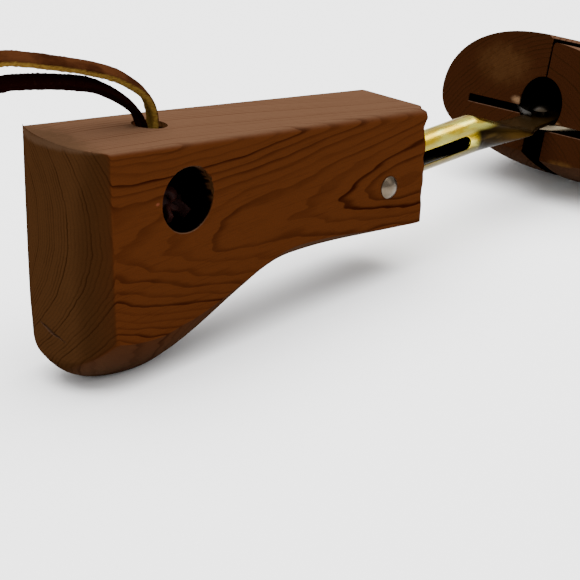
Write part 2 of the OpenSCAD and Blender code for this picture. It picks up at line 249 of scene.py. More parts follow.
class Paint:
    """A material under construction, measured in millimetres in the object's own frame."""

    def __init__(self, name):
        self.material = bpy.data.materials.new(name)
        self.material.use_nodes = True
        self.tree = self.material.node_tree
        self.shader = self.tree.nodes["Principled BSDF"]
        self.coords = self.tree.nodes.new("ShaderNodeTexCoord")
        scale = self.tree.nodes.new("ShaderNodeVectorMath")
        scale.operation = "SCALE"
        self.tree.links.new(self.coords.outputs["Object"], scale.inputs[0])
        scale.inputs["Scale"].default_value = 1 / MM
        self.point = Value(self.tree, scale.outputs[0])
        self.x, self.y, self.z = self.split(self.point)
        self.nx, self.ny, self.nz = self.split(Value(self.tree, self.coords.outputs["Normal"]))

    def split(self, vector):
        node = self.tree.nodes.new("ShaderNodeSeparateXYZ")
        plug(self.tree, node.inputs[0], vector)
        return [Value(self.tree, out) for out in node.outputs]

    def vector(self, x, y, z):
        node = self.tree.nodes.new("ShaderNodeCombineXYZ")
        for socket, value in zip(node.inputs, (x, y, z)):
            plug(self.tree, socket, value)
        return Value(self.tree, node.outputs[0])

    def number(self, value):
        node = self.tree.nodes.new("ShaderNodeValue")
        node.outputs[0].default_value = value
        return Value(self.tree, node.outputs[0])

    def noise(self, sizes, detail=2.0, seed=0.0, rough=0.5):
        """Noise from 0 to 1 that varies over sizes millimetres along x, y and z."""
        node = self.tree.nodes.new("ShaderNodeTexNoise")
        plug(self.tree, node.inputs["Vector"], self.vector(
            self.x / sizes[0] + seed, self.y / sizes[1] + seed * 1.7, self.z / sizes[2]))
        node.inputs["Scale"].default_value = 1
        node.inputs["Detail"].default_value = detail
        node.inputs["Roughness"].default_value = rough
        return Value(self.tree, node.outputs[0])

    def random(self, value):
        node = self.tree.nodes.new("ShaderNodeTexWhiteNoise")
        node.noise_dimensions = "1D"
        plug(self.tree, node.inputs["W"], value)
        return Value(self.tree, node.outputs["Value"])

    def attribute(self, name):
        node = self.tree.nodes.new("ShaderNodeAttribute")
        node.attribute_name = name
        return Value(self.tree, node.outputs["Fac"])

    def colours(self, a, b, amount):
        node = self.tree.nodes.new("ShaderNodeMix")
        node.data_type = "RGBA"
        plug(self.tree, node.inputs["Factor"], amount)
        plug(self.tree, node.inputs["A"], a)
        plug(self.tree, node.inputs["B"], b)
        return Value(self.tree, node.outputs["Result"])

    def near(self, centre, reach):
        """1 at a point, falling off over reach millimetres along x, y and z."""
        parts = [((c - a) / r) ** 2 for c, a, r in zip((self.x, self.y, self.z), centre, reach)]
        return (-(parts[0] + parts[1] + parts[2])).exp()

    def finish(self, colour, roughness, metallic=0.0, specular=0.5, bump=None, depth=0.1):
        plug(self.tree, self.shader.inputs["Base Color"], colour)
        plug(self.tree, self.shader.inputs["Roughness"], roughness)
        self.shader.inputs["Metallic"].default_value = metallic
        self.shader.inputs["Specular IOR Level"].default_value = specular
        if bump is not None:
            node = self.tree.nodes.new("ShaderNodeBump")
            node.inputs["Strength"].default_value = 1
            node.inputs["Distance"].default_value = depth * MM
            plug(self.tree, node.inputs["Height"], bump)
            self.tree.links.new(node.outputs[0], self.shader.inputs["Normal"])
        return self.material


SIDE_TONE, SIDE_LINE = (0.0415, 0.0118, 0.0032), (0.0110, 0.0022, 0.0007)
TOP_TONE, TOP_LINE = (0.066, 0.0340, 0.0190), (0.042, 0.0175, 0.0085)
END_TONE, END_LINE = (0.0330, 0.0135, 0.0046), (0.0130, 0.0046, 0.0013)
# Near-black painted shade for the inside of bores, holes, slots and gaps.
HOLLOW_SHADE = (0.0004, 0.0002, 0.0001)


def cedar(name, pith_y, pith_z, rings, seed, bends=(), spots=(), bores=None,
          faces=(SIDE_TONE, TOP_TONE, END_TONE)):
    """Solid cedar: growth rings about a pith line that runs along x, outside the block.

    pith_y and pith_z are functions of x. bends are (x, z, reach x, reach z, shift) places where the rings
    swirl, and spots are (point, reach, colour). bores(paint) is where the inside of bores, holes, slots
    and gaps gets painted shade, near black."""
    p = Paint(name)
    ripple = (p.noise((26, 11, 7), 2, seed) - 0.5) * 1.5 + (p.noise((60, 5, 3), 1, seed + 9) - 0.5) * 0.5
    radius = ((p.y - pith_y(p)) ** 2 + (p.z - pith_z(p)) ** 2).root() + ripple
    for x, z, reach_x, reach_z, shift in bends:
        swirl = (-(((p.x - x) / reach_x) ** 2 + ((p.z - z) / reach_z) ** 2)).exp()
        radius = radius + swirl * shift
    phase = radius / rings
    within = phase.fract()
    strength = p.random(phase.floor() + seed) ** 1.6
    late = within.ramp(0.52, 0.93) * (p.number(1) - within.ramp(0.94, 1.0)) + within.ramp(0.1, 0.9) * 0.12
    line = late * (strength * 0.95 + 0.18) * (p.noise((34, 6, 6), 2, seed + 3) * 1.5 + 0.2)
    fibre = p.noise((22, 0.42, 0.42), 3, seed + 5, 0.6)
    cloud = p.noise((45, 16, 12), 2, seed + 7)
    side, up, end = p.ny ** 2, p.nz ** 2, p.nx ** 2
    tone = p.colours(faces[0], faces[1], (up * 1.25).ramp(0.05, 1.0))
    tone = p.colours(tone, faces[2], end.ramp(0.12, 0.75))
    dark = p.colours(SIDE_LINE, TOP_LINE, (up * 1.25).ramp(0.05, 1.0))
    dark = p.colours(dark, END_LINE, end.ramp(0.12, 0.75))
    colour = p.colours(tone, dark, line.least(1))
    colour = p.colours(colour, dark, (fibre.ramp(0.5, 0.85)) * 0.45)
    colour = p.colours(colour, tone, (cloud.ramp(0.5, 0.8)) * 0.35)
    slanted = (side * end * 4).ramp(0.35, 0.95) * 0.5
    colour = p.colours(colour, END_LINE, slanted)
    # Painted shade: faces that look downwards are darkened.
    colour = p.colours(colour, (0, 0, 0), (-p.nz).ramp(0.0, 0.7) * 0.42)
    mottle = p.noise((4, 3, 3), 3, seed + 11, 0.6)
    for point, reach, shade in spots:
        colour = p.colours(colour, shade, (p.near(point, reach) * (mottle * 1.5 + 0.25)).ramp(0.2, 0.95))
    # Painted shade: the inside of bores, holes, slots and gaps is darkened to near black.
    if bores is not None:
        colour = p.colours(colour, HOLLOW_SHADE, bores(p))
    grain = fibre * 0.6 - line * 0.5 + p.noise((3, 0.5, 0.5), 2, seed) * 0.4
    return p.finish(colour, 0.6, specular=0.0, bump=grain, depth=0.14)


def metal(name, colour, roughness, scratch=(8, 0.3, 0.3), tarnish=None, amount=0.0, dents=0.02):
    """Polished metal with fine scratches, and a darker tarnish where asked."""
    p = Paint(name)
    fine = p.noise(scratch, 3, 2.3)
    cloud = p.noise((6, 4, 4), 2, 5.1)
    tone = p.colours(colour, tuple(c * 0.72 for c in colour), fine.ramp(0.45, 0.8) * 0.5)
    if tarnish is not None:
        tone = p.colours(tone, tarnish, cloud.ramp(0.35, 0.75) * amount)
    return p.finish(tone, fine * 0.18 + roughness, metallic=1.0, bump=fine + cloud * 2, depth=dents)


# ---------------------------------------------------------------- driving places, from the CAD
rivet_mid = middle_mm("heel_rivet")
pivot_mid = middle_mm("link_washer")
fore_high = box_mm("forefoot_left")[1]
spring_low, spring_high = box_mm("stem_spring")
tube_low, tube_high = box_mm("stem_tube")
hinge_mid = middle_mm("toe_hinge_pin")

AXIS_Z = rivet_mid.z
TOP_SLOPE = math.tan(math.radians(8.5))
CORNER_X = rivet_mid.x - 116
CORNER_Z = 74.5
BLOCK_LENGTH = 136.8
FRONT_X = CORNER_X + BLOCK_LENGTH
HEEL_MID_Z = 37
REAR_HALF, FRONT_HALF = 19.25, 16.5
HEEL_BORE_R = 6.7
RIVET_HOLE_R = 2.05
BACK_SKEW, TOP_TILT = 1.4, 1.6


def top_z(x):
    """Height of the heel block's sloping top."""
    return CORNER_Z - TOP_SLOPE * (x - CORNER_X)


# ---------------------------------------------------------------- lace
LACE_W, LACE_T = 5.2, 2.8
LACE_Y = 3.5
LACE_ROUTE = [(-118.5, 54.5), (-115.6, 61), (-113.9, 69), (-113.6, 73), (-114.5, 77), (-117, 81),
              (-121, 84.5), (-126, 88), (-132, 91), (-140, 94.2), (-148, 97), (-157, 100),
              (-166, 102.6), (-175, 103.2), (-183, 100.5), (-188.5, 95), (-191, 88), (-190, 81),
              (-186, 77), (-181.5, 79), (-179.5, 85), (-177.5, 91), (-173, 94.8), (-167, 95.4),
              (-159, 94), (-151, 92.2), (-143, 90), (-136, 87.6), (-130, 84.2), (-125, 80.6),
              (-121, 76.8), (-118.8, 73), (-118, 69), (-119.2, 61), (-122.5, 55)]


def through(points, step):
    """A smooth curve through points, as points about step apart."""
    points = [Vector(p) for p in points]
    ends = [2 * points[0] - points[1], *points, 2 * points[-1] - points[-2]]
    curve = []
    for a, b, c, d in zip(ends, ends[1:], ends[2:], ends[3:]):
        count = max(1, round((c - b).length / step))
        for k in range(count):
            t = k / count
            curve.append(0.5 * (2 * b + (c - a) * t + (2 * a - 5 * b + 4 * c - d) * t * t
                                + (3 * b - a - 3 * c + d) * t ** 3))
    return curve + [points[-1]]


def build_lace():
    """The strap along LACE_ROUTE, each strand rolled about its own run."""
    path = through([(x, LACE_Y, z) for x, z in LACE_ROUTE], 0.7)
    lengths = [0.0]
    for a, b in zip(path, path[1:]):
        lengths.append(lengths[-1] + (b - a).length)
    sides = 28
    rings, flesh, along, edge = [], [], [], []
    for k, (point, s) in enumerate(zip(path, lengths)):
        tangent = (path[min(k + 1, len(path) - 1)] - path[max(k - 1, 0)]).normalized()
        outward = Vector((tangent.z, 0, -tangent.x))
        share = s / lengths[-1]
        roll = math.radians(33) * min(1, share * 6, max(0, 0.5 - share) * 12)
        if share > 0.5:
            roll = -math.radians(38) * math.sin(math.pi * (share - 0.5) * 2)
        width = Vector((0, 1, 0)) * math.cos(roll) + outward * math.sin(roll)
        outward = outward * math.cos(roll) - Vector((0, 1, 0)) * math.sin(roll)
        ring = []
        for j in range(sides):
            a = 2 * math.pi * j / sides
            w = math.copysign(abs(math.cos(a)) ** 0.45, math.cos(a))
            o = math.copysign(abs(math.sin(a)) ** 0.5, math.sin(a))
            rough = 0.22 * wave(s, j * 3.1, 0, 1.1) + 0.16 * wave(s, j * 5.3, 4, 0.5)
            frayed = rough * (1.6 if abs(w) > 0.85 else 0.35) * (1.5 if o < -0.4 else 1)
            swell = 1 + 0.05 * wave(s, 0, 9, 9)
            ring.append(point + width * (w * (LACE_W / 2 * swell - 0.15) + math.copysign(frayed, w) * abs(w))
                        + outward * (o * (LACE_T / 2 - 0.05) + frayed * 0.4 * abs(o)))
            flesh.append(o)
            edge.append(w)
            along.append(share)
        rings.append(ring)
    lace = loft("lace_strap", rings)
    for name, values in (("lace_out", flesh), ("lace_edge", edge), ("lace_along", along)):
        data = lace.data.attributes.new(name, "FLOAT", "POINT").data
        for k, value in enumerate(values):
            data[k].value = value
        for k in range(len(values), len(data)):
            data[k].value = values[0 if k == len(values) else -1]
    return lace, path, lengths[-1]


def lace_leather():
    p = Paint("lace_leather")
    out, edge, along = p.attribute("lace_out"), p.attribute("lace_edge"), p.attribute("lace_along")
    nap = p.noise((1.6, 0.5, 0.5), 3, 4.0, 0.65)
    cloud = p.noise((9, 5, 5), 2, 1.0)
    second = along.ramp(0.47, 0.56)
    grain = p.colours((0.036, 0.0120, 0.0042), (0.017, 0.0050, 0.0018), cloud.ramp(0.35, 0.7))
    raw = p.colours((0.125, 0.072, 0.014), (0.070, 0.030, 0.006), nap.ramp(0.4, 0.75))
    dark_grain = p.colours((0.0085, 0.0018, 0.0016), (0.0170, 0.0034, 0.0026), cloud.ramp(0.4, 0.8))
    dark_raw = p.colours((0.0036, 0.0005, 0.0004), (0.016, 0.0060, 0.0034), nap.ramp(0.55, 0.9))
    is_grain = (out + (nap - 0.5) * 0.5).ramp(0.35, 0.75)
    colour = p.colours(p.colours(raw, grain, is_grain), p.colours(dark_raw, dark_grain, is_grain), second)
    colour = p.colours(colour, (0.010, 0.0024, 0.0010),
                       (edge.size().ramp(0.96, 1.0) * out.ramp(0.1, 0.7)) * 0.4)
    return p.finish(colour, nap * 0.25 + 0.55, specular=0.0, bump=nap, depth=0.3)


def knot_leather():
    p = Paint("knot_leather")
    nap = p.noise((0.9, 0.9, 0.9), 3, 6.0, 0.6)
    cloud = p.noise((4, 4, 4), 2, 2.0)
    colour = p.colours((0.0050, 0.0009, 0.0007), (0.016, 0.0030, 0.0018), cloud.ramp(0.4, 0.75))
    colour = p.colours(colour, (0.040, 0.015, 0.008), nap.ramp(0.66, 0.85) * 0.6)
    return p.finish(colour, 0.6, specular=0.05, bump=nap, depth=0.2)


def strap_along(points, half_w, half_t, twist, sides=14, seed=0.0):
    """Rings of a soft strap swept along points.

    twist is its turn about the path from end to end, in radians."""
    rings = []
    normal = None
    for k, point in enumerate(points):
        tangent = (points[min(k + 1, len(points) - 1)] - points[max(k - 1, 0)]).normalized()
        start = normal if normal is not None else tangent.orthogonal()
        normal = (start - start.dot(tangent) * tangent).normalized()
        a0 = twist * k / (len(points) - 1)
        u = normal * math.cos(a0) + tangent.cross(normal) * math.sin(a0)
        v = tangent.cross(u)
        ring = []
        for j in range(sides):
            a = 2 * math.pi * j / sides
            rough = 1 + 0.10 * wave(k * 0.8, j * 2.0, seed, 1.3)
            ring.append(point + u * math.copysign(abs(math.cos(a)) ** 0.6, math.cos(a)) * half_w * rough
                        + v * math.copysign(abs(math.sin(a)) ** 0.6, math.sin(a)) * half_t * rough)
        rings.append(ring)
    return rings


def join(name, shapes):
    """One object from several, which are removed."""
    bm = bmesh.new()
    for shape in shapes:
        bm.from_mesh(shape.data)
        bpy.data.objects.remove(shape)
    mesh = bpy.data.meshes.new(name)
    bm.to_mesh(mesh)
    bm.free()
    shape = bpy.data.objects.new(name, mesh)
    bpy.context.scene.collection.objects.link(shape)
    return shape


def build_knot():
    """The lace's ends, tied in an overhand knot that can't pass the strap hole, with two short tails."""
    low, high = box_mm("lace_knot")
    reach = (high.z - low.z) / 2 - 1.7
    centre = Vector(((low.x + high.x) / 2, low.y + reach + 1.6, (low.z + high.z) / 2))
    loop = []
    for k in range(91):
        a = 2 * math.pi * k / 90
        spread = 0.64 + 0.34 * math.cos(3 * a)
        loop.append(centre + reach * Vector((spread * math.cos(2 * a), 0.55 * math.sin(3 * a),
                                             spread * math.sin(2 * a))))
    straps = [loft("knot_loop", strap_along(loop, 1.9, 1.2, math.pi * 2, seed=3.0))]
    for end_x, end_z, side in ((*LACE_ROUTE[0], 1), (*LACE_ROUTE[-1], -1)):
        to_lace = through([(end_x, LACE_Y, end_z), (centre.x + side, (centre.y + LACE_Y) / 2, centre.z + 1.5),
                           centre + Vector((side * 1.5, 0.5, 0.5))], 0.6)
        straps.append(loft("knot_strand", strap_along(to_lace, 1.9, 1.2, 0.8, seed=side * 2.0)))
        tail = through([centre, centre + Vector((side * 2.6, -3.2, -1.6)),
                        centre + Vector((side * 3.4, -6.0, -3.6))], 0.5)
        straps.append(loft("knot_tail", strap_along(tail, 1.8, 1.0, 0.7, seed=side * 5.0)))
    return join("lace_knot_strap", straps)


lace, lace_path, lace_length = build_lace()
finish_piece(lace, "heel", ["lace_loop"], lace_leather(), 50)
knot = build_knot()
finish_piece(knot, "heel", ["lace_knot"], knot_leather(), 50)
round(lace_length * MM, 3)
[tuple(p * MM) for p in lace_path]


# ---------------------------------------------------------------- heel block
EDGE_R = 0.6
HOLE_X, HOLE_Z, HOLE_R = CORNER_X + 28.7, CORNER_Z - 22, 9.9
STRAP_X, STRAP_R = CORNER_X + 34, 5.0


def half_width(x):
    return mix(REAR_HALF, FRONT_HALF, np.maximum(0, x - CORNER_X) / BLOCK_LENGTH)


def heel_sole(x):
    """Height of the sole's middle line: rounded at the back, then rising to the waist."""
    rear = clamp01((CORNER_X + 21 - x) / 33)
    rounding = 13 * (1 - np.sqrt(np.maximum(0, 1 - rear ** 2.5)))
    arch = (1 - np.cos(np.pi * clamp01((x - CORNER_X - 13) / 63))) / 2
    ahead = (1 - np.cos(np.pi * clamp01((x - CORNER_X - 76) / (FRONT_X - CORNER_X - 76)))) / 2
    return rounding + np.where(x < CORNER_X + 76, mix(-2, 17, arch), mix(17, 13, ahead))


def heel_crown(x):
    """How much higher the sole is at the sides than in the middle."""
    return np.clip(12 - 0.085 * (x - CORNER_X - 23), 3, 12) + 3 * clamp01((CORNER_X + 53 - x) / 30)


def heel_back(y, z):
    """Where the rounded back lies."""
    sag = 9.45 - 2.4 * ((z - 28) / 46.5) ** 2
    return CORNER_X - 0.045 * (CORNER_Z - z) - sag * (1 - np.minimum(1, np.abs(y) / REAR_HALF) ** 2.5)


def heel_front(z):
    """Where the sawn front lies, square to the sloping top."""
    return FRONT_X - (top_z(FRONT_X) - z) * TOP_SLOPE


def skewed(point, u):
    """Moves a point by the block's askew sanding: the far back corner stands back, the top tilts up to +Y."""
    x, y, z = point
    back = BACK_SKEW * max(0, y / REAR_HALF) ** 2 * float(clamp01(z / 25)) * (1 - u)
    return x - back, y, z + TOP_TILT * (1 + y / REAR_HALF) / 2 * float(clamp01((z - HEEL_MID_Z) / 30))


SOLE_V = np.linspace(0, 0.97, 15)
SIDE_K = np.linspace(0, 1, 14)
ROUND_A = np.radians(np.linspace(10, 90, 7))
TOP_V = np.linspace(0.9, 0, 10)


def heel_outline(x):
    """Half of the outline across the block, each point taken at its own place x: (y, z) arrays."""
    n0, n1, n2 = len(SOLE_V), len(SOLE_V) + len(SIDE_K), len(SOLE_V) + len(SIDE_K) + len(ROUND_A)
    b, r = half_width(x), mix(1.8, 3.6, clamp01((x - CORNER_X) / BLOCK_LENGTH))
    low = heel_sole(x) + heel_crown(x)
    y, z = b.copy(), np.zeros_like(x)
    y[:n0] = SOLE_V * b[:n0]
    z[:n0] = np.maximum(0, heel_sole(x)[:n0] + heel_crown(x)[:n0] * SOLE_V ** 2)
    z[n0:n1] = mix(np.maximum(0, low[n0:n1]), top_z(x)[n0:n1] - r[n0:n1], SIDE_K)
    y[n1:n2] = b[n1:n2] - r[n1:n2] * (1 - np.cos(ROUND_A))
    z[n1:n2] = top_z(x)[n1:n2] - r[n1:n2] * (1 - np.sin(ROUND_A))
    y[n2:] = (b[n2:] - r[n2:]) * TOP_V / TOP_V[0]
    z[n2:] = top_z(x)[n2:]
    return y, z


def heel_ring(u, inset):
    """One closed ring around the block, u of the way from its back to its front."""
    count = len(SOLE_V) + len(SIDE_K) + len(ROUND_A) + len(TOP_V)
    x = np.full(count, mix(CORNER_X - 6.0, FRONT_X - 3.0, u))
    for _ in range(4):
        y, z = heel_outline(x)
        y, z = y * (1 - inset / REAR_HALF), HEEL_MID_Z + (z - HEEL_MID_Z) * (1 - inset / HEEL_MID_Z)
        x = mix(heel_back(y, z), heel_front(z), u)
    half = list(zip(x, y, z))
    return [skewed(p, u) for p in half + [(px, -py, pz) for px, py, pz in half[-2:0:-1]]]


def rounding(distance, radius):
    """How far a rounded edge draws in at a distance from the end."""
    gap = max(0.0, 1 - distance / radius)
    return radius * (1 - math.sqrt(max(0.0, 1 - gap * gap)))


def chip(x, y, z):
    """How far the ragged sawn edge at the front is broken away here, from 0 to about 1."""
    at_edge = clamp01((x - heel_front(z) + 2.2) / 2.0) * clamp01((abs(y) - 12.5) / 2)
    return float(at_edge) * max(0.0, wave(0, z, y, 3.1, 7) + 0.55 * wave(0, z, y, 1.3, 2) + 0.12) * 1.5


def heel_shell():
    length = 138.0
    near = [EDGE_R * k for k in (0, 0.09, 0.22, 0.42, 0.68, 1)] + [1.5]
    ends = [length - d for d in (0.7, 0.45, 0.25, 0.1, 0)]
    stations = near + list(np.arange(3, length - 3, 1.9)) + [length - 2.2, length - 1.5, length - 1.1] + ends
    body = [heel_ring(d / length, rounding(d, EDGE_R) + rounding(length - d, 0.7)) for d in stations]
    first, last = body[0], body[-1]
    back = []
    for s in [0.02, *np.arange(0.08, 0.95, 0.06), 0.965, 0.985, 0.996]:
        back.append([skewed((float(heel_back(y * s, mix(HEEL_MID_Z, z, s))), y * s, mix(HEEL_MID_Z, z, s)), 0)
                     for _, y, z in first])
    front = [[(float(heel_front(mix(HEEL_MID_Z, z, s))), y * s, mix(HEEL_MID_Z, z, s)) for _, y, z in last]
             for s in (0.93, 0.6, 0.25)]
    rings = back + body + front
    chipped = [[(x - 0.9 * chip(x, y, z), y * (1 - 0.035 * chip(x, y, z)), z) for x, y, z in ring]
               for ring in rings]
    soft = [[(x + 0.10 * wave(x, y, z, 14, 3), y + 0.09 * wave(x, y, z, 17, 8) * (1 if abs(y) > 1 else 0), z)
             for x, y, z in ring] for ring in chipped]
    return loft("heel_block_cedar", soft)


def hole_cutter():
    """The hole through the sides, with a broken rim towards the heel and the top on the near side."""
    face = float(half_width(np.array(HOLE_X)))

    def chipped(radius, angle, height):
        if height < face - 4:
            return radius
        towards = max(0.0, math.cos(angle - math.radians(28)))
        bite = 0.9 * towards ** 3 * max(0.0, wave(angle * 4, height, 0, 0.5, 2) + 0.35)
        return radius + bite + 0.12 * wave(angle * 9, 0, height, 1.0, 5)

    rim = [(HOLE_R + 0.9, face + 1.2), (HOLE_R + 0.45, face + 0.1), (HOLE_R + 0.1, face - 0.35),
           (HOLE_R, face - 1.2),
           (HOLE_R, face - 4.5)]
    profile = [(r, -h) for r, h in rim] + [(r, h) for r, h in reversed(rim)]
    return lathe("cutter", profile, (HOLE_X, 0, HOLE_Z), (0, -1, 0), 96, chipped)


def crack_cutter():
    """A drying check in the end grain of the heel's back."""
    line = [(6.2, 20.6), (4.4, 19.8), (2.6, 19.3), (0.8, 18.5), (-1.4, 17.7), (-3.6, 17.3), (-6.4, 15.9)]
    widths = [0.05, 0.25, 0.5, 0.7, 0.5, 0.28, 0.05]
    rings = []
    for (y, z), w in zip(line, widths):
        x = float(heel_back(np.array(y), np.array(z)))
        rings.append([(x - 1.5, y, z + 1.6 * w), (x + 0.2, y, z + w), (x + 1.4 + 3 * w, y - 0.2, z - 0.2),
                      (x + 0.2, y, z - w), (x - 1.5, y, z - 1.6 * w)])
    return loft("cutter", rings)


def flared(radius, start, end, origin, axis, flare=0.35):
    """A bore cutter that opens out at its far end, where it meets the surface at height end."""
    profile = [(radius, start), (radius, end - 2 * flare), (radius + 0.25 * flare, end - flare),
               (radius + flare, end), (radius + 2.5 * flare, end + 1.5)]
    return lathe("cutter", profile, origin, axis, 72)


heel = heel_shell()
slope_up = (math.sin(math.radians(8.5)), 0, math.cos(math.radians(8.5)))
cut(heel, [
    hole_cutter(),
    crack_cutter(),
    flared(STRAP_R, -14, 0, (STRAP_X, LACE_Y, top_z(STRAP_X)), slope_up, 0.3),
    lathe("cutter", [(HEEL_BORE_R, 0), (HEEL_BORE_R, 82), (6.9, 88.7), (7.6, 100)],
          (tube_low.x - 61, 0, AXIS_Z), (1, 0, 0)),
])


# Painted shade: darkens the inside of the cross hole, of the tube's bore and of the strap hole's neck.
def heel_hollow_shade(p):
    cross = (((p.x - HOLE_X) ** 2 + (p.z - HOLE_Z) ** 2).root()) - HOLE_R
    shade_inside = (p.number(1) - cross.ramp(0.06, 0.3)) * (p.number(1) - p.y.size().ramp(18.2, 18.75))
    tube = ((p.y ** 2 + (p.z - AXIS_Z) ** 2).root()) - HEEL_BORE_R
    bore = (p.number(1) - tube.ramp(0.0, 0.3)) * p.x.ramp(-108, -106)
    down = p.z - (p.number(top_z(0)) - p.x * TOP_SLOPE)
    strap = (((p.x - STRAP_X) ** 2 + (p.y - LACE_Y) ** 2).root()) - STRAP_R
    neck = (p.number(1) - strap.ramp(0.6, 1.0)) * (p.number(1) - down.ramp(-0.9, -0.4)) * p.z.ramp(54, 56)
    return shade_inside.most(bore).most(neck)


heel_wood = cedar(
    "cedar_heel",
    pith_y=lambda p: p.number(31) - (p.x + 150) * 0.018,
    pith_z=lambda p: (-((p.x + 150) / 45)).exp() * 14 + 33,
    rings=1.05, seed=0.0,
    bends=[(-101, 38, 15, 9, -1.1), (-30, 33, 20, 8, -1.5), (-150, 52, 12, 6, 0.5)],
    spots=[((-132.4, -19, 54.5), (0.9, 2, 0.6), (0.090, 0.026, 0.012)),
           ((-157, 2, 75.6), (17, 30, 1.7), (0.046, 0.024, 0.0125))],
    bores=heel_hollow_shade)
finish_piece(heel, "heel", ["heel_block"], heel_wood, 30)


# ---------------------------------------------------------------- rivets
NICKEL = metal("nickel", (0.100, 0.078, 0.056), 0.20, (1.2, 1.2, 1.2), (0.040, 0.030, 0.020), 0.6, 0.03)
STEEL = metal("bright_steel", (0.17, 0.14, 0.095), 0.24, (3, 0.4, 0.4), (0.045, 0.035, 0.024), 0.4)


def dome(radius, height, rim=0.25, count=12):
    """Profile of a rivet head: a short upright rim, then a dome."""
    tall = height - rim
    ball = (radius ** 2 + tall ** 2) / (2 * tall)
    edge = math.asin(radius / ball)
    arc = [(ball * math.sin(a), rim + ball * math.cos(a) - ball + tall)
           for a in np.linspace(edge, 0.02, count)]
    return [(radius - 0.12, 0), (radius, 0.08)] + [(r, max(0.1, h)) for r, h in arc]


rivet_low, rivet_high = box_mm("heel_rivet")
cap_low, cap_high = box_mm("heel_rivet_cap")
head_r, head_h = (rivet_high.x - rivet_low.x) / 2, cap_high.y - cap_low.y
rivet_at = Vector((rivet_mid.x, 0, AXIS_Z))
near_head = lathe("head", dome(head_r, head_h), rivet_at + Vector((0, -cap_low.y, 0)), (0, -1, 0))
shank = lathe("shank", [(2.35, 0), (2.35, 2 * cap_low.y)], rivet_at + Vector((0, -cap_low.y, 0)), (0, 1, 0))
rivet = join("heel_rivet_nickel", [near_head, shank])
finish_piece(rivet, "heel", ["heel_rivet"], NICKEL)
cap = lathe("heel_rivet_cap_nickel", dome(head_r, head_h), rivet_at + Vector((0, cap_low.y, 0)), (0, 1, 0))
finish_piece(cap, "heel", ["heel_rivet_cap"], NICKEL)


# ---------------------------------------------------------------- tube
TUBE_R, WALL = (tube_high.z - tube_low.z) / 2, 1.0
TONGUE_Z, TONGUE_HALF = AXIS_Z - 3.9, 1.0
ROUND_END, FLAT_X, PIVOT_X = 26.0, 48.0, pivot_mid.x


def tube_section(x, inner=0.0, sides=88):
    """One ring of the tube: round, then squeezed down to a flat tongue."""
    t = clamp01((x - ROUND_END) / (FLAT_X - ROUND_END))
    w, h = mix(TUBE_R, 9.8, t), mix(TUBE_R, TONGUE_HALF, t)
    if x > FLAT_X:
        w = mix(9.8, 6.8, math.sin(math.pi / 2 * min(1, (x - FLAT_X) / 9)))
    if x > PIVOT_X:
        w = math.sqrt(max(0.05, 6.5 ** 2 - (x - PIVOT_X) ** 2))
        w = min(w, 6.5)
    elif x > FLAT_X + 9:
        w = mix(6.8, 6.5, (x - FLAT_X - 9) / (PIVOT_X - FLAT_X - 9))
    z0 = mix(AXIS_Z, TONGUE_Z, t)
    power = mix(1.0, 0.42, min(1, t * 1.3))
    w, h = w - inner, max(0.15, h - inner)
    ring = []
    for k in range(sides):
        a = 2 * math.pi * k / sides
        y = w * math.copysign(abs(math.sin(a)) ** power, math.sin(a))
        z = h * math.copysign(abs(math.cos(a)) ** power, math.cos(a))
        ring.append((x, y, z0 + z))
    return ring


def build_tube():
    back = tube_low.x
    tip = [PIVOT_X + 6.5 * math.sin(a) for a in np.radians([12, 25, 38, 50, 62, 72, 81, 87])]
    xs = [back, back + 0.25, *np.arange(back + 3, ROUND_END, 3.0), *np.arange(ROUND_END, FLAT_X, 1.0),
          *np.arange(FLAT_X, PIVOT_X, 1.5), PIVOT_X, *tip]
    outer = [tube_section(x, 0.15 if x == back else 0) for x in xs]
    inner = [tube_section(x, WALL) for x in xs if x < FLAT_X - 6]
    verts_rings = list(reversed(inner)) + outer
    tube = loft("stem_tube_brass", verts_rings)
    hole = lathe("cutter", [(RIVET_HOLE_R, -5), (RIVET_HOLE_R, 5)], (PIVOT_X, 0, TONGUE_Z), (0, 0, 1))
    slot_r, slot_a, slot_b = 2.45, rivet_mid.x - 0.1, CORNER_X + 168 - 2.45
    outline = [(slot_a + slot_r * math.cos(a), slot_r * math.sin(a))
               for a in np.radians(np.arange(90, 271, 7.5))]
    outline += [(slot_b + slot_r * math.cos(a), slot_r * math.sin(a))
                for a in np.radians(np.arange(-90, 91, 7.5))]
    slot = loft("cutter", [[(x, y, AXIS_Z + z) for x, z in outline] for y in (-12, 12)])
    groove = block((back - 2, -0.13, AXIS_Z + TUBE_R - 0.12), (ROUND_END + 2, 0.13, AXIS_Z + TUBE_R + 1))
    cut(tube, [slot, hole, groove])
    ease_edges(tube, 0.16, 40, 2)
    return tube


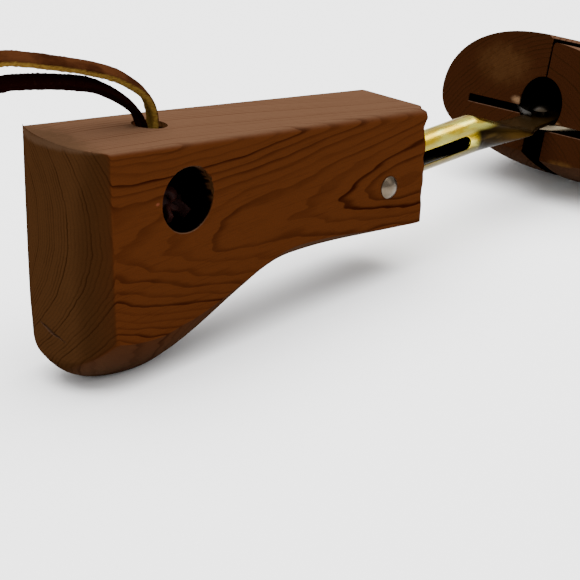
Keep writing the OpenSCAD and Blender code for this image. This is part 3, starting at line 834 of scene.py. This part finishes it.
def brass():
    """Bright plating, with painted shade mixed with tarnish along the tube's lower flank, a darker squeezed
    end, a painted highlight above the slot and painted shade inside.
    """
    p = Paint("brass_plate")
    fine = p.noise((7, 0.35, 0.35), 3, 2.0)
    cloud = p.noise((9, 3, 3), 2, 6.0)
    stain = p.noise((12, 4, 2.5), 3, 11.0)
    tone = p.colours((0.50, 0.335, 0.007), (0.62, 0.57, 0.095), cloud.ramp(0.42, 0.66))
    tone = p.colours(tone, (0.46, 0.22, 0.010), p.near((-9, -4, AXIS_Z + 4), (9, 8, 3)).ramp(0.3, 0.9) * 0.8)
    # Painted highlight: a pale band along the tube just above the slot.
    tone = p.colours(tone, (0.50, 0.48, 0.15),
                     (p.number(1) - (p.z - AXIS_Z - 3.2).size().ramp(0.2, 1.0)) * 0.6)
    # Painted shade mixed with tarnish: the lower flank darkens, broken up by stain noise.
    low = ((p.number(AXIS_Z - 1.5) - p.z + (stain - 0.5) * 2.4).ramp(0.0, 1.2)
           * (p.z.ramp(AXIS_Z - 5.9, AXIS_Z - 4.9)))
    squeezed = p.x.ramp(19, 25) * (p.number(AXIS_Z + 4.6) - p.z - (p.x - 20) * 0.05).ramp(0, 2.2)
    squeezed = squeezed * (p.z + (p.x - 20) * 0.10).ramp(AXIS_Z - 5.6, AXIS_Z - 4.4)
    dark = (low * 0.85).most(squeezed)
    shade = p.colours((0.0075, 0.0038, 0.0006), (0.030, 0.0170, 0.0035), stain.ramp(0.4, 0.7))
    tone = p.colours(tone, shade, dark)
    tone = p.colours(tone, (0.055, 0.0270, 0.0040), p.x.ramp(30, 44) * 0.8)
    # Painted shade: the inside of the tube is darkened to near black.
    shade_inside = (p.number(TUBE_R - 0.5) - (p.y ** 2 + (p.z - AXIS_Z) ** 2).root()).ramp(0.0, 0.3)
    tone = p.colours(tone, (0.0008, 0.0005, 0.0003), shade_inside * (p.number(1) - p.x.ramp(24, 30)))
    rough = (fine - 0.5) * 0.12 + dark * 0.16 + 0.18
    return p.finish(tone, rough, metallic=1.0, bump=fine + cloud, depth=0.03)


tube = build_tube()
finish_piece(tube, "stem", ["stem_tube"], brass(), 32)


# ---------------------------------------------------------------- spring
def build_spring():
    """A compression spring whose end turns lie close."""
    wire, turns = 0.7, 12
    coil = (spring_high.z - spring_low.z) / 2 - wire
    x0, x1 = spring_low.x + wire, spring_high.x - wire
    steps = 40 * turns
    path = []
    for k in range(steps + 1):
        t = k / steps
        squeezed = clamp01((t - 0.07) / 0.86)
        edge = 1.5 * (min(t, 0.07) - min(1 - t, 0.07) + 0.07) / 0.07 / 2
        a = 2 * math.pi * turns * t
        path.append(Vector((mix(x0 + 0.75, x1 - 0.75, float(squeezed)) + edge - 0.75,
                            coil * math.cos(a), AXIS_Z + coil * math.sin(a))))
    return loft("stem_spring_wire", strap_ring(path, wire))


def strap_ring(path, radius, sides=10):
    rings = []
    for k, point in enumerate(path):
        tangent = (path[min(k + 1, len(path) - 1)] - path[max(k - 1, 0)]).normalized()
        u = (Vector((1, 0, 0)) - tangent.x * tangent).normalized()
        v = tangent.cross(u)
        rings.append([point + radius * (u * math.cos(a) + v * math.sin(a))
                      for a in np.linspace(0, 2 * math.pi, sides, endpoint=False)])
    return rings


spring = build_spring()
SPRING_STEEL = metal("spring_steel", (0.10, 0.095, 0.09), 0.30, (1, 1, 1), (0.04, 0.032, 0.025), 0.5)
finish_piece(spring, "heel", ["stem_spring"], SPRING_STEEL, 60)
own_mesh(spring)


# ---------------------------------------------------------------- links and their rivet
def link_outline(side):
    """Banana-shaped plate, from the pivot out to its pin."""
    pin = middle_mm("link_pin_left" if side > 0 else "link_pin_right")
    dx, dy = pin.x - PIVOT_X, abs(pin.y)
    lean = math.radians(12)
    turn = 2 * (math.atan2(dx, dy) - lean)
    arc_r = math.hypot(dx, dy) / 2 / math.sin(turn / 2)
    centre = (PIVOT_X + arc_r * math.cos(lean), -arc_r * math.sin(lean))
    start, end = math.pi - lean, math.pi - lean - turn
    half = 5.0

    def arc(mid, radius, a, b, count):
        return [(mid[0] + radius * math.cos(t), mid[1] + radius * math.sin(t))
                for t in np.linspace(a, b, count)]

    pivot, far = (PIVOT_X, 0.0), (PIVOT_X + dx, dy)
    points = arc(centre, arc_r + half, start, end, 26)
    points += arc(far, half, end, end - math.pi, 22)[1:]
    points += arc(centre, arc_r - half, end, start, 26)[1:]
    points += arc(pivot, half, start + math.pi, start + 2 * math.pi, 24)[1:-1]
    return [(x, side * y) for x, y in points], far


def build_link(side):
    """One link with its pivot hole and its slightly long outer hole."""
    node = "link_left" if side > 0 else "link_right"
    low, high = box_mm(node)
    outline, far = link_outline(side)
    t = high.z - low.z
    plate = loft(node + "_plate", [[(x, y, z) for x, y in outline] for z in (low.z, low.z + t)])
    holes = [lathe("cutter", [(RIVET_HOLE_R, -4), (RIVET_HOLE_R, 4)], (PIVOT_X, 0, low.z), (0, 0, 1), 48)]
    spread = math.hypot(far[0] - PIVOT_X, far[1])
    for back in (0.0, 0.6):
        place = (mix(far[0], PIVOT_X, back / spread), side * mix(far[1], 0, back / spread), low.z)
        holes.append(lathe("cutter", [(1.87, -4), (1.87, 4)], place, (0, 0, 1), 48))
    cut(plate, holes)
    ease_edges(plate, 0.35, 40, 3)
    return plate


# Steel darkened as painted shade: the left link and the link rivet sit in the forefoot's shade, while the
# right link takes the bright steel.
SHADED_STEEL = metal("steel_painted_shade", (0.010, 0.0075, 0.0050), 0.26, (3, 0.4, 0.4), (0.005, 0.0035, 0.002), 0.5)
for side, node, body, steel in ((1, "link_left", "link_l", SHADED_STEEL), (-1, "link_right", "link_r", STEEL)):
    finish_piece(build_link(side), body, [node], steel)

washer_low = box_mm("link_washer")[0]
stud_low, stud_high = box_mm("link_rivet")
washer = lathe("link_washer_ring", [(2.02, 0), (3.5, 0), (3.6, 0.08), (3.6, 0.42), (3.5, 0.5), (2.02, 0.5)],
               (PIVOT_X, 0, washer_low.z), (0, 0, 1))
finish_piece(washer, "stem", ["link_washer"], NICKEL)
left_high = box_mm("link_left")[1]
# The link rivet takes the steel with painted shade.
stud = join("link_rivet_nickel", [
    lathe("stud", [(2.0, 0), (2.0, left_high.z + 0.1 - washer_low.z)], (PIVOT_X, 0, washer_low.z), (0, 0, 1)),
    lathe("stud", dome(3.4, stud_high.z - left_high.z - 0.05), (PIVOT_X, 0, left_high.z + 0.05), (0, 0, 1)),
    lathe("stud", dome(3.0, washer_low.z - stud_low.z), (PIVOT_X, 0, washer_low.z), (0, 0, -1))])
finish_piece(stud, "stem", ["link_rivet"], SHADED_STEEL)

for node, body in (("link_pin_left", "half_left"), ("link_pin_right", "half_right")):
    low, high = box_mm(node)
    r = (high.x - low.x) / 2
    pin = lathe(node + "_steel",
                [(r - 0.3, 0), (r, 0.3), (r, high.z - low.z - 0.3), (r - 0.3, high.z - low.z)],
                ((low.x + high.x) / 2, (low.y + high.y) / 2, low.z), (0, 0, 1))
    finish_piece(pin, body, [node], STEEL)


# ---------------------------------------------------------------- forefoot halves
BALL_X, TOE_X, TIP_Y, HALF_W = 75.0, fore_high.x, 10.0, fore_high.y
FACE_X, FACE_LEAN = 63.6, 18.5
FORE_BORE_R, FORE_BORE_Z, CHANNEL_W = 9.7, AXIS_Z + 1, 9.0
FACE_RISE = math.tan(math.radians(FACE_LEAN))


def past_ball(x):
    return float(clamp01((x - BALL_X) / (TOE_X - BALL_X)))


def arc_in(t, p):
    return math.sqrt(max(0.0, 1 - t ** p))


def left_out(x):
    return TIP_Y + (HALF_W - TIP_Y) * arc_in(past_ball(x), 2.6) - 0.003 * max(0, BALL_X - x) ** 2


def right_out(x):
    return (HALF_W + TIP_Y) * arc_in(past_ball(x), 1.9) - TIP_Y - 0.003 * max(0, BALL_X - x) ** 2


def half_ring(x, y0, out, rear_h, mid_h, top, power):
    """Outline of one half across x. The corners at the sawn face are eased."""
    nose = max(0.2, arc_in(past_ball(x), 8))
    mid = mix(mid_h, 12, clamp01((x - 64) / 88))
    sole = (rear_h + 1) * clamp01((92 - x) / 35) ** 2 - 1 + 6 * clamp01((x - 112) / 49) ** 2
    w, up, down = max(0.4, out - y0), (top - mid) * nose, (mid - sole) * nose
    angles = np.radians(np.concatenate(([0, 1.2, 2.6, 4.5, 7], np.linspace(10, 90, 22))))
    ring = []
    for a in angles:
        y, z = w * math.sin(a) ** (2 / 3), mid - down * math.cos(a)
        ring.append((y, max(0.0, z + eased(y, 0.8))))
    for a in angles[-2::-1]:
        y, z = w * math.sin(a) ** (2 / power), mid + up * math.cos(a)
        ring.append((y, z - eased(y, 1.6)))
    return [(x, y0 + y, float(z)) for y, z in ring]


def eased(y, radius):
    gap = max(0.0, 1 - y / radius)
    return radius * (1 - math.sqrt(1 - gap * gap)) * 0.8


def fore_cutters(side, link_z):
    """Rear face, bore, channel, link slot, and the hinge's notch and leaf recess."""
    kerf_side = -3 if side > 0 else 3
    bore = lathe("cutter", [(FORE_BORE_R, -20), (FORE_BORE_R, 84)], (0, 0, FORE_BORE_Z), (1, 0, 0), 96)
    channel = block((-5, -CHANNEL_W / 2, -6), (80, CHANNEL_W / 2, AXIS_Z - 2))
    edge = sorted((kerf_side, side * 33.5))
    slot = block((-5, edge[0], link_z - 1.45), (90, edge[1], link_z + 1.45))
    leaf_low, leaf_high = box_mm("toe_hinge_leaf_left")
    notch_x = hinge_mid.x - 2.5
    notch = block((notch_x, -2.7, leaf_low.z - 0.5), (notch_x + 20, 2.7, leaf_high.z + 0.5))
    recess = block((leaf_low.x - 0.2, -0.9, leaf_low.z - 0.2), (notch_x + 1, 0.9, leaf_high.z + 0.2))
    pin = middle_mm("link_pin_left" if side > 0 else "link_pin_right")
    drill = lathe("cutter", [(1.8, -2), (1.8, 36)], (pin.x, pin.y, 0), (0, 0, 1), 40)
    rear = block((FACE_X - 60, -60, -60), (FACE_X, 60, 120), FACE_LEAN, (FACE_X, 0, AXIS_Z))
    return [rear, bore, channel, slot, notch, recess, drill]


def fore_stations(end):
    """Places along the foot where the half's rings stand, closer together at the toe."""
    rear = list(np.arange(54, BALL_X, 3.0)) + list(np.arange(BALL_X, 140, 2.6))
    toe = list(np.arange(140, 156, 1.6)) + [156.5, 157.5, 158.3, 158.9]
    return [x for x in rear + toe if x < end - 0.2] + [end]


# Painted shade: darkens the bore, the channel, the link slot and the gap between the halves, behind the sawn
# rear face.
def fore_hollow_shade(side, link_z):
    def where(p):
        bore = ((p.y ** 2 + (p.z - FORE_BORE_Z) ** 2).root()) - FORE_BORE_R
        ahead = p.x - (p.z - AXIS_Z) * FACE_RISE - FACE_X
        deep = ahead.ramp(0.15, 0.9)
        round_bore = (p.number(1) - bore.ramp(0.05, 0.35)) * (p.number(1) - p.x.ramp(85, 86))
        slot = ((p.number(1) - (p.z - link_z).size().ramp(1.46, 1.75))
                * (p.number(1) - p.y.size().ramp(33.6, 34.2)))
        gap = p.number(1) - p.y.size().ramp(0.5, 0.85)
        channel = (p.number(1) - p.y.size().ramp(4.55, 4.9)) * (p.number(1) - p.x.ramp(80.2, 80.8))
        low = p.number(1) - p.z.ramp(AXIS_Z - 3, AXIS_Z)
        slot = slot * (p.number(1) - p.x.ramp(90.2, 90.8))
        return (round_bore.most(slot).most(gap).most(channel * low)) * deep
    return where


FORE_SIDE, FORE_TOP, FORE_END = (0.036, 0.0125, 0.0042), (0.068, 0.0355, 0.0210), (0.0188, 0.0058, 0.0019)


def build_half(side):
    """One forefoot half, cut and finished."""
    node = "forefoot_left" if side > 0 else "forefoot_right"
    link_z = middle_mm("link_left" if side > 0 else "link_right").z
    if side > 0:
        rings = [half_ring(x, max(0.5, -right_out(x)), left_out(x), 18, 32, 57.5 - 0.37 * (x - 71), 2.4)
                 for x in fore_stations(TOE_X)]
    else:
        rings = [[(px, -py, pz) for px, py, pz in
                  half_ring(x, 0.5, right_out(x), 15.5, 32, 55 - 0.37 * (x - 71), 1.7)]
                 for x in fore_stations(159.4)]
    half = loft(node + "_cedar", rings)
    cut(half, fore_cutters(side, link_z))
    if side > 0:
        spots = [((60.4, 3.5, 30), (2, 5, 2.4), (0.034, 0.016, 0.0055)),
                 ((68, 20, 44), (20, 14, 8), (0.030, 0.012, 0.004)),
                 ((64, 11.0, 33.0), (3.0, 2.8, 1.5), (0.110, 0.062, 0.032))]
    else:
        spots = [((61.5, -9.2, 28.4), (1.2, 1.5, 0.7), (0.080, 0.042, 0.018)),
                 ((57, -14, 15), (3, 6, 1.6), (0.040, 0.018, 0.005))]
    wood = cedar("cedar_" + node, pith_y=lambda p: p.number(side * -18) + (p.x - 60) * 0.02,
                 pith_z=lambda p: p.number(-22) + (p.x - 60) * 0.08, rings=1.5, seed=20.0 + side * 4,
                 spots=spots, bores=fore_hollow_shade(side, link_z), faces=(FORE_SIDE, FORE_TOP, FORE_END))
    finish_piece(half, "half_left" if side > 0 else "half_right", [node], wood, 30)


for side in (1, -1):
    build_half(side)


# ---------------------------------------------------------------- toe hinge, carried over from the CAD
HINGE_BRASS = metal("hinge_brass", (0.20, 0.12, 0.03), 0.30, (2, 0.5, 0.5), (0.07, 0.04, 0.012), 0.5)
for node in ("toe_hinge_leaf_left", "toe_hinge_leaf_right", "hinge_screws_left", "hinge_screws_right",
             "toe_hinge_pin"):
    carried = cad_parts[node]
    carried.data.materials.clear()
    carried.data.materials.append(STEEL if node == "toe_hinge_pin" else HINGE_BRASS)


# ---------------------------------------------------------------- floor, world and lights
FLOOR_REACH = 6000
floor = new_object("floor", [(-FLOOR_REACH, -FLOOR_REACH, 0), (FLOOR_REACH, -FLOOR_REACH, 0),
                             (FLOOR_REACH, FLOOR_REACH, 0), (-FLOOR_REACH, FLOOR_REACH, 0)], [(0, 1, 2, 3)])
floor.location.z = -0.0002
pale = Paint("floor_pale")
floor.data.materials.append(pale.finish((0.93, 0.93, 0.93), 0.9, specular=0.1))

world = bpy.data.worlds.new("world")
bpy.context.scene.world = world
world.use_nodes = True
world.node_tree.nodes["Background"].inputs["Color"].default_value = (1, 1, 1, 1)
world.node_tree.nodes["Background"].inputs["Strength"].default_value = 1.0


def softbox(name, place, target, width, height, watts, colour=(1, 1, 1)):
    light = bpy.data.lights.new(name, "AREA")
    light.shape = "RECTANGLE"
    light.size, light.size_y = width, height
    light.energy = watts
    light.color = colour
    lamp = bpy.data.objects.new(name, light)
    bpy.context.scene.collection.objects.link(lamp)
    lamp.location = place
    lamp.rotation_euler = (Vector(target) - Vector(place)).to_track_quat("-Z", "Y").to_euler()


softbox("overhead", (0.1, 0.1, 1.6), (0, 0, 0), 2.4, 2.4, 125)
softbox("front_right", (0.7, -1.2, 0.7), (0, 0, 0.03), 0.8, 0.8, 3)
